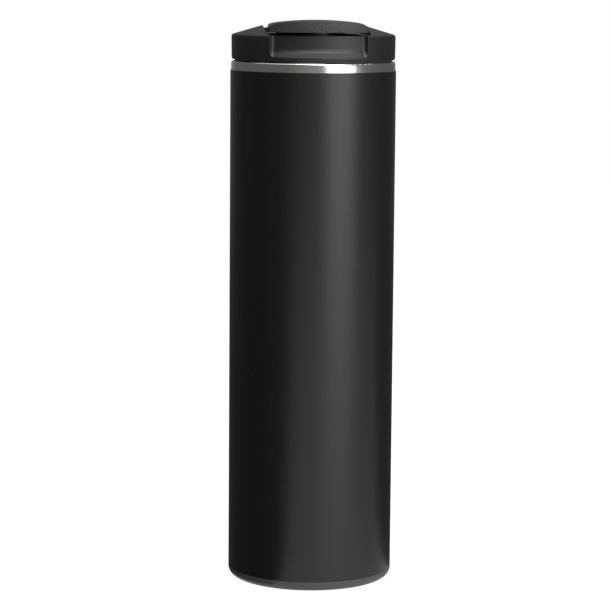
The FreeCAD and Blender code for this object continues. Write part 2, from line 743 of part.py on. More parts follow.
def stopper_peg():
    """Rigid peg that plugs into the core and carries the drinking stopper."""
    body = new_body("stopper_peg")
    play = "dim.drink_bore - dim.stopper_play - dim.stopper_skin"
    low = "drv.lever_low - dim.stopper_reach + dim.stopper_skin"
    peg = new_sketch(body, "peg_section", "XY_Plane", low)
    ring(peg, "0", "-drv.drink_y", play)
    pad(body, "peg_pad", peg, "dim.stopper_reach - dim.stopper_skin")
    stem = new_sketch(body, "stem_section", "XY_Plane", "drv.lever_low")
    ring(stem, "0", "-drv.drink_y", "dim.stem_radius")
    pad(body, "stem_pad", stem, "dim.core_height")
    return body


def drink_stopper():
    """Silicone cup over the peg, with a flange that covers the tube's lip."""
    body = new_body("drink_stopper")
    outer = "dim.drink_bore - dim.stopper_play"
    low = "drv.lever_low - dim.stopper_reach"
    cup = new_sketch(body, "cup_section", "XY_Plane", low)
    ring(cup, "0", "-drv.drink_y", outer)
    pad(body, "cup_pad", cup, "dim.stopper_reach")
    flange_low = "drv.channel_floor + dim.tube_lip + dim.flange_gap"
    flange = new_sketch(body, "flange_section", "XY_Plane", flange_low)
    ring(flange, "0", "-drv.drink_y", "dim.stopper_flange")
    pad(body, "flange_pad", flange, f"drv.lever_low - ({flange_low})")
    hollow = new_sketch(body, "hollow_section", "XY_Plane", f"{low} + dim.stopper_skin")
    ring(hollow, "0", "-drv.drink_y", f"{outer} - dim.stopper_skin")
    pocket(body, "cup_hollow", hollow, upwards=True)
    return body


def vent_stopper():
    """Small silicone plug over the vent tube, with its stem through the core."""
    body = new_body("vent_stopper")
    stem = new_sketch(body, "vent_stem_section", "XY_Plane", "drv.lever_low - dim.vent_reach")
    ring(stem, "0", "-drv.vent_y", "dim.vent_bore - dim.stopper_play")
    pad(body, "vent_stem", stem, "dim.vent_reach + dim.core_height")
    flange_low = "drv.channel_floor + dim.tube_lip + dim.flange_gap"
    flange = new_sketch(body, "vent_flange_section", "XY_Plane", flange_low)
    ring(flange, "0", "-drv.vent_y", "dim.vent_flange")
    pad(body, "vent_flange_pad", flange, f"drv.lever_low - ({flange_low})")
    return body


# ---------------------------------------------------------------- assembly and export
def build():
    """Every sub-part, in the order of assembly."""
    core, peg, vent = lever_core(), stopper_peg(), vent_stopper()
    return [
        outer_shell(), inner_liner(), liner_bottom(), copper_foil(), shell_bottom(), vacuum_seal(),
        getter_clip(), getter(), base_cap(),
        tube("base_tape", "0", "drv.plate_under - dim.tape_height", "dim.tape_height",
             "dim.platform_inner", "dim.platform_outer"),
        main_gasket(), lid_plug(), plug_floor(), lid_insulation(),
        flow_tube("drink_tube", "-drv.drink_y", "dim.drink_bore", "drv.drink_outer"),
        flow_tube("vent_tube", "-drv.vent_y", "dim.vent_bore", "drv.vent_outer"),
        lid_shell(), hinge_pin(),
        core, lever_cover(core, peg, vent), peg, drink_stopper(), vent,
    ]


def check(parts):
    """Stop if anything in the document failed, or a sub-part is not a sound solid."""
    doc.recompute()
    broken = [item.Label for item in doc.Objects if {"Invalid", "Error"} & set(item.State)]
    if broken:
        raise RuntimeError(f"failed objects: {broken}")
    for part in parts:
        if part.Shape.isNull() or not part.Shape.isValid() or not part.Shape.Solids:
            raise RuntimeError(f"{part.Label} is not a valid solid")


sub_parts = build()
check(sub_parts)
os.makedirs("parts", exist_ok=True)
for part in sub_parts:
    part.Shape.exportStep(f"parts/{part.Label}.step")
    print(f"{part.Label}: {len(part.Shape.Solids)} solid, {part.Shape.Volume:.1f} mm3")
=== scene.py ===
"""Finishes, modelled skins and studio for a slim vacuum flask with a flip-up drinking lever.

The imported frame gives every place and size, in metres: +Z is up and the lid's finger scoop faces -Y.
"""
import logging
import math
from dataclasses import dataclass, field
from enum import Enum

import bpy
from mathutils import Matrix, Vector


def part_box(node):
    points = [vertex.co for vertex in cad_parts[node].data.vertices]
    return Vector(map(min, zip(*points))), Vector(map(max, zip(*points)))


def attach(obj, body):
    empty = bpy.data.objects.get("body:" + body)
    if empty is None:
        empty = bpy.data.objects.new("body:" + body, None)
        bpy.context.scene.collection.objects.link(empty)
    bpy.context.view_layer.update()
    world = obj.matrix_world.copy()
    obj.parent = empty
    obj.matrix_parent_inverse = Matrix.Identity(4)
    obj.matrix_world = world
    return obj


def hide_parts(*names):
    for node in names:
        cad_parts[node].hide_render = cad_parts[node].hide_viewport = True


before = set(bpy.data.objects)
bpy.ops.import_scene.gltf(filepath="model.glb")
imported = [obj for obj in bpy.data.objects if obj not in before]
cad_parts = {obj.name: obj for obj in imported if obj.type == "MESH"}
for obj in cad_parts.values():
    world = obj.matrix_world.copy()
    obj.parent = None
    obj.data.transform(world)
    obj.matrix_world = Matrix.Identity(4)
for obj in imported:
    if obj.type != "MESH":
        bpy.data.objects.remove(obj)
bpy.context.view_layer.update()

LOG = logging.getLogger("flask")
MM = 0.001
WHITE = (1.0, 1.0, 1.0, 1.0)
RGB = tuple[float, float, float]


# ---------------------------------------------------------------- shader graph
class Signal:
    """One output socket of a material, usable in arithmetic: every operator adds its Math node."""

    def __init__(self, graph: "Graph", socket: bpy.types.NodeSocket) -> None:
        """Keep the graph and the socket that carries the value."""
        self.graph = graph
        self.socket = socket

    def _math(self, operation: str, first: "Signal | float", second: "Signal | float") -> "Signal":
        """Add a Math node.

        Args:
            operation: Blender's name of the operation.
            first: left operand.
            second: right operand.

        Returns:
            The node's result.
        """
        return self.graph.node("Math", {"operation": operation}, {0: first, 1: second})

    def __add__(self, other: "Signal | float") -> "Signal":
        """Sum."""
        return self._math("ADD", self, other)

    __radd__ = __add__

    def __sub__(self, other: "Signal | float") -> "Signal":
        """Difference."""
        return self._math("SUBTRACT", self, other)

    def __rsub__(self, other: "Signal | float") -> "Signal":
        """Difference with this signal on the right."""
        return self._math("SUBTRACT", other, self)

    def __mul__(self, other: "Signal | float") -> "Signal":
        """Product."""
        return self._math("MULTIPLY", self, other)

    __rmul__ = __mul__


class Graph:
    """A material or world under construction, with one method for every kind of node."""

    def __init__(self, name: str, world: bpy.types.World | None = None) -> None:
        """Start an empty material, or empty the world that is given.

        Args:
            name: name of the new material.
            world: the world to fill in its place.
        """
        self.material = world or bpy.data.materials.new(name)
        self.material.use_nodes = True
        self.tree = self.material.node_tree
        self.tree.nodes.clear()

    def node(self, kind: str, settings: dict | None = None, sockets: dict | None = None,
             output: int | str = 0) -> Signal:
        """Add a shader node.

        Args:
            kind: node type without its ShaderNode prefix.
            settings: properties, set before the sockets.
            sockets: values or signals by socket name or index.
            output: which output to return.

        Returns:
            The chosen output as a signal.
        """
        made = self.tree.nodes.new("ShaderNode" + kind)
        for key, value in (settings or {}).items():
            setattr(made, key, value)
        for key, value in (sockets or {}).items():
            if isinstance(value, Signal):
                self.tree.links.new(value.socket, made.inputs[key])
            else:
                made.inputs[key].default_value = value
        return Signal(self, made.outputs[output] if made.outputs else None)

    def place(self, stretch: tuple[float, float, float] = (1.0, 1.0, 1.0)) -> Signal:
        """Object coordinates in metres, multiplied axis by axis."""
        coordinates = self.node("TexCoord", output="Object")
        return self.node("VectorMath", {"operation": "MULTIPLY"}, {0: coordinates, 1: stretch})

    def noise(self, size: float, stretch: tuple[float, float, float] = (1.0, 1.0, 1.0),
              detail: float = 2.0) -> Signal:
        """Noise between 0 and 1.

        Args:
            size: size of one lump in metres.
            stretch: factor on each axis, under 1 for lumps drawn out along it.
            detail: octaves of finer noise.

        Returns:
            The noise value.
        """
        return self.node("TexNoise", {"noise_dimensions": "3D"}, {
            "Vector": self.place(stretch), "Scale": 1.0 / size, "Detail": detail, "Roughness": 0.55,
        })

    def cells(self, size: float) -> Signal:
        """Distance to the nearest of scattered points, for a pebbled surface.

        Args:
            size: spacing of the pebbles in metres.

        Returns:
            The distance, from 0 at a pebble's centre.
        """
        return self.node("TexVoronoi", {"feature": "F1"}, {
            "Vector": self.place(), "Scale": 1.0 / size, "Randomness": 1.0,
        })

    def bump(self, height: Signal, depth: float, normal: Signal | None = None) -> Signal:
        """Bump from a height signal.

        Args:
            height: the height, 0 to 1.
            depth: full height in metres.
            normal: normal to start from.

        Returns:
            The bumped normal.
        """
        sockets: dict = {"Height": height, "Distance": depth, "Strength": 1.0}
        if normal is not None:
            sockets["Normal"] = normal
        return self.node("Bump", None, sockets)

    def tint(self, amount: Signal, dark: RGB, light: RGB) -> Signal:
        """Colour between two colours.

        Args:
            amount: 0 for the first colour, 1 for the second.
            dark: first colour.
            light: second colour.

        Returns:
            The mixed colour.
        """
        return self.node("Mix", {"data_type": "RGBA"}, {0: amount, 6: (*dark, 1.0), 7: (*light, 1.0)}, 2)

    def finish(self, sockets: dict) -> bpy.types.Material:
        """Close the graph with a Principled shader.

        Args:
            sockets: the shader's values and links.

        Returns:
            The finished material.
        """
        shader = self.node("BsdfPrincipled", None, sockets)
        self.node("OutputMaterial", None, {"Surface": shader})
        return self.material


# ---------------------------------------------------------------- finishes
def scaled(colour: RGB, factor: float) -> RGB:
    """The colour, lighter or darker by a factor."""
    return (colour[0] * factor, colour[1] * factor, colour[2] * factor)


@dataclass(frozen=True)
class PowderCoat:
    """Baked powder paint: satin, with orange peel and a fine grit."""

    colour: RGB = (0.0026, 0.0026, 0.0029)
    roughness: float = 0.36
    specular: float = 0.4
    grit: float = 0.42 * MM
    peel: float = 2.2 * MM
    grit_depth: float = 0.035 * MM
    peel_depth: float = 0.012 * MM

    def material(self) -> bpy.types.Material:
        """Build the coat's material.

        Returns:
            The powder coat.
        """
        graph = Graph("powder_coat")
        grit = graph.noise(self.grit, detail=3.0)
        peel = graph.noise(self.peel, detail=1.0)
        normal = graph.bump(grit, self.grit_depth, graph.bump(peel, self.peel_depth))
        return graph.finish({
            "Base Color": graph.tint(grit, scaled(self.colour, 0.7), scaled(self.colour, 1.3)),
            "Roughness": self.roughness - 0.05 + 0.1 * grit,
            "Specular IOR Level": self.specular,
            "Normal": normal,
        })


class Brush(Enum):
    """Which way the polishing lines run."""

    AROUND = (0.02, 0.02, 1.0)
    ALONG_X = (0.02, 1.0, 1.0)
    NONE = (1.0, 1.0, 1.0)


@dataclass(frozen=True)
class Metal:
    """Bare metal with lines from turning or brushing."""

    name: str
    colour: RGB = (0.60, 0.59, 0.58)
    roughness: float = 0.2
    brush: Brush = Brush.AROUND
    line: float = 0.12 * MM
    depth: float = 0.0025 * MM

    def material(self) -> bpy.types.Material:
        """Build the metal's material.

        Returns:
            The metal.
        """
        graph = Graph(self.name)
        lines = graph.noise(self.line, self.brush.value, detail=4.0)
        clouds = graph.noise(9 * MM, detail=2.0)
        return graph.finish({
            "Base Color": graph.tint(lines, scaled(self.colour, 0.88), scaled(self.colour, 1.06)),
            "Metallic": 1.0,
            "Roughness": self.roughness - 0.08 + 0.1 * lines + 0.06 * clouds,
            "Normal": graph.bump(lines, self.depth),
        })


@dataclass(frozen=True)
class Moulding:
    """Moulded plastic or rubber with a fine spark-eroded texture."""

    name: str
    colour: RGB
    roughness: float
    grain: float = 0.22 * MM
    depth: float = 0.004 * MM
    edge: float = 0.0
    specular: float = 0.5

    def material(self) -> bpy.types.Material:
        """Build the moulding's material.

        Returns:
            The plastic or rubber.
        """
        graph = Graph(self.name)
        grain = graph.noise(self.grain, detail=2.0)
        flow = graph.noise(14 * MM, detail=2.0)
        rounded = None
        if self.edge:
            rounded = graph.node("Bevel", {"samples": 6}, {"Radius": self.edge})
        return graph.finish({
            "Base Color": graph.tint(flow, scaled(self.colour, 0.85), scaled(self.colour, 1.15)),
            "Roughness": self.roughness - 0.04 + 0.05 * grain + 0.03 * flow,
            "Specular IOR Level": self.specular,
            "Normal": graph.bump(grain, self.depth, rounded),
        })


@dataclass(frozen=True)
class SoftTouch:
    """Pebbled elastomer, as on the lever, with painted shade darkening the hollows between pebbles."""

    colour: RGB = (0.011, 0.011, 0.0115)
    roughness: float = 0.5
    pebble: float = 0.8 * MM
    depth: float = 0.14 * MM

    def material(self) -> bpy.types.Material:
        """Build the elastomer's material.

        Returns:
            The elastomer.
        """
        graph = Graph("soft_touch")
        pebbles = graph.cells(self.pebble)
        fine = graph.noise(0.2 * MM, detail=2.0)
        return graph.finish({
            # Painted shade: colour lighter on the pebble tops and darker in the hollows between them
            "Base Color": graph.tint(pebbles, scaled(self.colour, 1.35), scaled(self.colour, 0.6)),
            "Roughness": self.roughness + 0.12 * pebbles,
            "Normal": graph.bump(1.0 - pebbles, self.depth, graph.bump(fine, 0.008 * MM)),
        })


@dataclass(frozen=True)
class BeadFoam:
    """Moulded bead foam with closed cells."""

    colour: RGB = (0.78, 0.77, 0.72)
    bead: float = 2.4 * MM

    def material(self) -> bpy.types.Material:
        """Build the foam's material.

        Returns:
            The foam.
        """
        graph = Graph("bead_foam")
        beads = graph.cells(self.bead)
        return graph.finish({
            "Base Color": graph.tint(beads, self.colour, scaled(self.colour, 0.75)),
            "Roughness": 0.82 + 0.1 * beads,
            "Normal": graph.bump(1.0 - beads, 0.25 * MM),
        })


def dress(node: str, material: bpy.types.Material) -> None:
    """Give a CAD node its finish.

    Args:
        node: name of the CAD node.
        material: the finish.
    """
    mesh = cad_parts[node].data
    mesh.materials.clear()
    mesh.materials.append(material)
    LOG.info("dressed %s with %s", node, material.name)


# ---------------------------------------------------------------- modelling helpers
def start_primitive(name: str) -> bpy.types.Object:
    """Name the primitive that was just added.

    Args:
        name: name of the object and of its mesh.

    Returns:
        The new object.
    """
    piece = bpy.context.object
    piece.name = name
    piece.data.name = name
    return piece


def settle(piece: bpy.types.Object, body: str, slot: str, material: bpy.types.Material,
           *nodes: str, smooth: float = 35.0) -> None:
    """Bake the piece's place into its mesh, shade it, dress it and let it ride.

    Args:
        piece: the modelled object.
        body: CAD body that carries it.
        slot: name of a material slot; not used.
        material: the finish.
        nodes: CAD nodes that it stands for.
        smooth: largest angle in degrees that is shaded smooth.
    """
    bpy.ops.object.select_all(action="DESELECT")
    piece.select_set(True)
    bpy.context.view_layer.objects.active = piece
    bpy.ops.object.transform_apply(location=True, rotation=True, scale=True)
    bpy.ops.object.mode_set(mode="EDIT")
    bpy.ops.mesh.select_all(action="SELECT")
    bpy.ops.mesh.remove_doubles(threshold=0.002 * MM)
    bpy.ops.mesh.normals_make_consistent(inside=False)
    bpy.ops.object.mode_set(mode="OBJECT")
    bpy.ops.object.shade_smooth_by_angle(angle=math.radians(smooth))
    piece.data.materials.clear()
    piece.data.materials.append(material)
    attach(piece, body)
    if nodes:
        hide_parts(*nodes)
    LOG.info("built %s: %d faces", piece.name, len(piece.data.polygons))


def turned(name: str, centre: tuple[float, float], profile: list[tuple[float, float]],
           steps: int = 96) -> bpy.types.Object:
    """Spin a closed (radius, height) outline about an upright axis.

    Args:
        name: name of the piece.
        centre: x and y of the axis.
        profile: corners of the outline in order, in metres.
        steps: facets of the full turn.

    Returns:
        The turned object, its place already in its mesh.
    """
    bpy.ops.object.select_all(action="DESELECT")
    bpy.ops.mesh.primitive_circle_add(vertices=len(profile), radius=1.0)
    piece = start_primitive(name)
    for vertex, (radius, height) in zip(piece.data.vertices, profile):
        vertex.co = (centre[0] + radius, centre[1], height)
    bpy.ops.object.mode_set(mode="EDIT")
    bpy.ops.mesh.select_all(action="SELECT")
    bpy.ops.mesh.spin(steps=steps, angle=2 * math.pi, center=(centre[0], centre[1], 0.0),
                      axis=(0.0, 0.0, 1.0))
    bpy.ops.mesh.select_all(action="SELECT")
    bpy.ops.mesh.remove_doubles(threshold=0.001 * MM)
    bpy.ops.object.mode_set(mode="OBJECT")
    return piece


def apply_modifier(piece: bpy.types.Object, kind: str, settings: dict) -> None:
    """Add a modifier, set it and apply it.

    Args:
        piece: the object.
        kind: Blender's modifier type.
        settings: its properties.
    """
    modifier = piece.modifiers.new(kind.title(), kind)
    for key, value in settings.items():
        setattr(modifier, key, value)
    bpy.ops.object.select_all(action="DESELECT")
    piece.select_set(True)
    bpy.context.view_layer.objects.active = piece
    bpy.ops.object.modifier_apply(modifier=modifier.name)


def rounded(corners: list[tuple], steps: int = 5) -> list[tuple[float, float]]:
    """Points of a closed outline, with an arc at each corner that carries a radius.

    Args:
        corners: (radius, height) or (radius, height, corner radius), in order.
        steps: segments of each arc.

    Returns:
        The outline's points.
    """
    points = []
    for i, corner in enumerate(corners):
        here = Vector(corner[:2])
        if len(corner) == 2:
            points.append(tuple(here))
            continue
        back = (Vector(corners[i - 1][:2]) - here).normalized()
        ahead = (Vector(corners[(i + 1) % len(corners)][:2]) - here).normalized()
        half = back.angle(ahead) / 2
        centre = here + (back + ahead).normalized() * (corner[2] / math.sin(half))
        start = here + back * (corner[2] / math.tan(half)) - centre
        end = here + ahead * (corner[2] / math.tan(half)) - centre
        for k in range(steps + 1):
            arm = start.lerp(end, k / steps).normalized() * corner[2]
            points.append(tuple(centre + arm))
    return points


def recalculate(piece: bpy.types.Object) -> None:
    """Merge doubled points and turn every face outwards.

    Args:
        piece: the object, in object mode.
    """
    bpy.ops.object.select_all(action="DESELECT")
    piece.select_set(True)
    bpy.context.view_layer.objects.active = piece
    bpy.ops.object.mode_set(mode="EDIT")
    bpy.ops.mesh.select_all(action="SELECT")
    bpy.ops.mesh.remove_doubles(threshold=0.002 * MM)
    bpy.ops.mesh.normals_make_consistent(inside=False)
    bpy.ops.object.mode_set(mode="OBJECT")


def combine(piece: bpy.types.Object, other: bpy.types.Object, operation: str = "DIFFERENCE") -> None:
    """Cut another solid from the piece, or join it on, and discard that solid.

    Args:
        piece: the solid that is kept.
        other: the solid that is used up.
        operation: Blender's name of the boolean operation.
    """
    apply_modifier(piece, "BOOLEAN", {"operation": operation, "object": other, "solver": "EXACT"})
    bpy.data.objects.remove(other)


def block(name: str, low: tuple[float, float, float], high: tuple[float, float, float],
          edge: float = 0.0) -> bpy.types.Object:
    """Box between two corners, with rounded edges if asked.

    Args:
        name: name of the box.
        low: lowest corner.
        high: highest corner.
        edge: radius of its edges.

    Returns:
        The box, its place in its mesh.
    """
    bpy.ops.object.select_all(action="DESELECT")
    bpy.ops.mesh.primitive_cube_add(size=1.0)
    piece = start_primitive(name)
    for vertex in piece.data.vertices:
        vertex.co = [a if c < 0 else b for a, b, c in zip(low, high, vertex.co)]
    if edge:
        apply_modifier(piece, "BEVEL", {"width": edge, "segments": 3})
    return piece


def rod(name: str, centre: tuple[float, float, float], radius: float, length: float,
        along: str) -> bpy.types.Object:
    """Round bar about its centre.

    Args:
        name: name of the bar.
        centre: its middle.
        radius: its radius.
        length: its length.
        along: the axis that it lies along, X or Z.

    Returns:
        The bar, its place in its mesh.
    """
    bpy.ops.object.select_all(action="DESELECT")
    turn = (0.0, math.pi / 2, 0.0) if along == "X" else (0.0, 0.0, 0.0)
    bpy.ops.mesh.primitive_cylinder_add(vertices=48, radius=radius, depth=length, location=centre,
                                        rotation=turn)
    piece = start_primitive(name)
    bpy.ops.object.transform_apply(location=True, rotation=True, scale=True)
    return piece


# ---------------------------------------------------------------- flask
@dataclass
class Flask:
    """Steel flask: coated shell, bare mouth band, vacuum jacket and base cover."""

    coat: PowderCoat = PowderCoat()
    band: Metal = Metal("brushed_steel", (0.70, 0.69, 0.68), 0.2)
    pressed: Metal = Metal("pressed_steel", (0.46, 0.46, 0.46), 0.34, Brush.NONE, 0.6 * MM)
    foil: Metal = Metal("copper_foil", (0.78, 0.38, 0.24), 0.24, Brush.NONE, 3.0 * MM, 0.02 * MM)
    solder: Metal = Metal("solder", (0.55, 0.55, 0.53), 0.42, Brush.NONE, 0.8 * MM, 0.02 * MM)
    pill: Metal = Metal("getter_metal", (0.14, 0.14, 0.15), 0.6, Brush.NONE, 0.3 * MM, 0.02 * MM)
    cap: Moulding = Moulding("base_plastic", (0.03, 0.03, 0.031), 0.5, 0.3 * MM, 0.01 * MM)
    tape: Moulding = Moulding("tape_foam", (0.06, 0.06, 0.06), 0.85, 0.35 * MM, 0.03 * MM)

    def dress(self) -> None:
        """Finish every CAD node of the flask."""
        steel = self.band.material()
        pressed = self.pressed.material()
        finishes = {
            "outer_shell": self.coat.material(), "inner_liner": steel, "liner_bottom": steel,
            "shell_bottom": pressed, "getter_clip": pressed, "copper_foil": self.foil.material(),
            "vacuum_seal": self.solder.material(), "getter": self.pill.material(),
            "base_cap": self.cap.material(), "base_tape": self.tape.material(),
        }
        for node, material in finishes.items():
            dress(node, material)


# ---------------------------------------------------------------- lid
@dataclass
class Lid:
    """Screw lid: shell, threaded plug, foam, flow tubes, gasket and hinge pin."""

    shell: Moulding = Moulding("lid_plastic", (0.006, 0.006, 0.0064), 0.46, 0.2 * MM, 0.003 * MM,
                               0.5 * MM, 0.36)
    plug: Moulding = Moulding("plug_plastic", (0.02, 0.02, 0.021), 0.4, 0.25 * MM, 0.003 * MM, 0.2 * MM)
    rubber: Moulding = Moulding("silicone", (0.03, 0.03, 0.031), 0.45, 0.5 * MM, 0.003 * MM)
    pin: Metal = Metal("pin_steel", (0.6, 0.6, 0.6), 0.18, Brush.ALONG_X)
    radius: float = 36.1 * MM
    draft: float = 0.15 * MM
    side: float = 10.9 * MM
    skirt: float = 1.2 * MM
    hollow: float = 28.0 * MM
    deck: float = 2.2 * MM
    flange: float = 1.8 * MM
    shoulder: float = 14.1 * MM
    rim_round: float = 1.2 * MM
    edge_round: float = 1.0 * MM
    crown_round: float = 0.8 * MM
    crown_proud: float = 0.01 * MM  # crown over the CAD shell's crest
    channel: float = 22.6 * MM
    channel_rear: float = 18.0 * MM
    channel_lift: float = 0.1 * MM
    channel_edge: float = 0.4 * MM
    boss_half: float = 20.0 * MM
    boss_front: float = 15.5 * MM
    boss_rear: float = 29.0 * MM
    boss_seat: float = 1.1 * MM  # top of the hinge boss under the channel floor
    recess_half: float = 15.6 * MM
    recess_front: float = 17.9 * MM
    recess_rear: float = 31.2 * MM
    recess_depth: float = 6.6 * MM
    cut_height: float = 9.0 * MM  # how far each cut runs past the surface that it opens
    cut_reach: float = 60.0 * MM
    pin_hole: float = 1.22 * MM
    pin_cut: float = 40.0 * MM
    flow_play: float = 0.1 * MM
    flow_cut: float = 8.0 * MM
    bead: float = 0.125 * MM  # height of the gasket's sealing beads
    gasket_play: float = 0.3 * MM
    gasket_round: float = 0.15 * MM
    scoop_radius: float = 42.0 * MM
    scoop_depth: float = 3.5 * MM
    scoop_half: float = 20.1 * MM
    scoop_reach: float = 8.0 * MM
    scoop_inner: float = 4.3 * MM
    scoop_lip: float = 1.7 * MM
    scoop_cove: float = 1.7 * MM
    scoop_over: float = 20.0 * MM
    lip_draft: float = 0.05 * MM

    def dress(self) -> None:
        """Finish every CAD node of the lid that stays."""
        plug = self.plug.material()
        finishes = {
            "lid_plug": plug, "plug_floor": plug, "drink_tube": plug, "vent_tube": plug,
            "lid_insulation": BeadFoam().material(), "hinge_pin": self.pin.material(),
        }
        for node, material in finishes.items():
            dress(node, material)

    def skin(self) -> None:
        """Lid shell: turned blank, then lever channel, hinge recess, flow holes and scoop."""
        low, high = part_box("lid_shell")
        rim = low.z + self.side
        floor = rim + self.channel_lift
        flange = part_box("main_gasket")[1].z + self.flange
        inside = self.radius - self.draft - self.skirt
        crown = high.z + self.crown_proud
        piece = turned("lid_skin", (0.0, 0.0), rounded([
            (0.0, floor - self.deck), (self.hollow, floor - self.deck), (self.hollow, flange),
            (inside, flange), (inside, low.z), (self.radius - self.draft, low.z, self.edge_round),
            (self.radius, rim, self.rim_round), (self.radius - self.shoulder, crown, self.crown_round),
            (0.0, crown),
        ]), 192)
        recalculate(piece)
        boss = block("boss", (-self.boss_half, self.boss_front, flange),
                     (self.boss_half, self.boss_rear, floor - self.boss_seat))
        combine(piece, boss, "UNION")
        over = floor + self.cut_height
        combine(piece, block("channel", (-self.channel, -self.cut_reach, floor),
                             (self.channel, self.channel_rear, over), self.channel_edge))
        combine(piece, block("recess", (-self.recess_half, self.recess_front, floor - self.recess_depth),
                             (self.recess_half, self.recess_rear, over), self.channel_edge))
        for name in ("drink_tube", "vent_tube"):
            below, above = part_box(name)
            middle = (below + above) / 2
            hole = (above.x - below.x) / 2 + self.flow_play
            combine(piece, rod(name + "_hole", (middle.x, middle.y, floor), hole, self.flow_cut, "Z"))
        pin_low, pin_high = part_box("hinge_pin")
        axis = tuple((pin_low + pin_high) / 2)
        combine(piece, rod("pin_hole", axis, self.pin_hole, self.pin_cut, "X"))
        combine(piece, self.scoop_cutter(low.z))
        settle(piece, "lid", "lid_plastic", self.shell.material(), "lid_shell", smooth=28.0)

    def scoop_cutter(self, base: float) -> bpy.types.Object:
        """Solid that hollows the finger scoop: a swept profile with rounded ends and floor.

        Args:
            base: height of the lid's lower edge.

        Returns:
            The cutter.
        """
        axis = self.scoop_radius - self.radius + self.scoop_depth
        half = math.asin(self.scoop_half / self.scoop_radius)
        inner, outer = self.scoop_radius, self.scoop_radius + self.scoop_reach
        floor = base + self.scoop_inner
        bpy.ops.object.select_all(action="DESELECT")
        bpy.ops.mesh.primitive_circle_add(vertices=4, radius=1.0, fill_type="NGON")
        piece = start_primitive("scoop_cutter")
        over = base + self.scoop_over
        corners = ((inner, floor), (outer, base), (outer, over), (inner, over))
        for vertex, (radius, height) in zip(piece.data.vertices, corners):
            vertex.co = (-radius * math.sin(half), axis - radius * math.cos(half), height)
        bpy.ops.object.mode_set(mode="EDIT")
        bpy.ops.mesh.select_all(action="SELECT")
        bpy.ops.mesh.spin(steps=24, angle=-2 * half, center=(0.0, axis, 0.0), axis=(0.0, 0.0, 1.0))
        bpy.ops.mesh.select_all(action="SELECT")
        bpy.ops.mesh.remove_doubles(threshold=0.001 * MM)
        bpy.ops.object.mode_set(mode="OBJECT")
        lid = self.radius - self.lip_draft
        for vertex in piece.data.vertices:
            away = Vector((vertex.co.x, vertex.co.y - axis))
            if vertex.co.z < base + 1 * MM and away.length > inner + 1 * MM:
                sine = vertex.co.x / away.length
                edge = axis * math.sqrt(1 - sine * sine) + math.sqrt(lid * lid - (axis * sine) ** 2)
                slope = (self.scoop_inner - self.scoop_lip) / (edge - inner)
                vertex.co.z = floor - slope * self.scoop_reach
        recalculate(piece)
        bpy.ops.object.mode_set(mode="EDIT")
        bpy.ops.mesh.select_mode(type="EDGE")
        bpy.ops.mesh.select_all(action="DESELECT")
        bpy.ops.object.mode_set(mode="OBJECT")
        vertices = piece.data.vertices
        for edge in piece.data.edges:
            ends = [vertices[i].co for i in edge.vertices]
            reach = [math.hypot(p.x, p.y - axis) < inner + 0.1 * MM for p in ends]
            at_end = all(abs(abs(math.atan2(p.x, axis - p.y)) - half) < 0.002 for p in ends)
            on_floor = all(p.z < base + self.scoop_inner + 0.1 * MM for p in ends)
            edge.select = (all(reach) and (at_end or on_floor)) or (at_end and on_floor and any(reach))
        bpy.ops.object.mode_set(mode="EDIT")
        bpy.ops.mesh.bevel(offset=self.scoop_cove, segments=6, affect="EDGES")
        bpy.ops.object.mode_set(mode="OBJECT")
        recalculate(piece)
        return piece

    def gasket(self) -> None:
        """Mouth gasket with two sealing beads on each face and a soft outer edge."""
        low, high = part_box("main_gasket")
        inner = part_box("plug_floor")[1].x + self.gasket_play
        width = high.x - inner
        marks = (0.0, 0.14, 0.28, 0.42, 0.58, 0.72, 0.86, 1.0)
        under = [(inner + width * t, low.z + (self.bead if i in (0, 2, 5, 7) else 0.0))
                 for i, t in enumerate(marks)]
        over = [(r, low.z + high.z - z) for r, z in reversed(under)]
        piece = turned("mouth_gasket", (0.0, 0.0), under + over, 120)
        apply_modifier(piece, "BEVEL", {"width": self.gasket_round, "segments": 2, "limit_method": "ANGLE"})
        settle(piece, "lid_seal", "silicone", self.rubber.material(), "main_gasket")


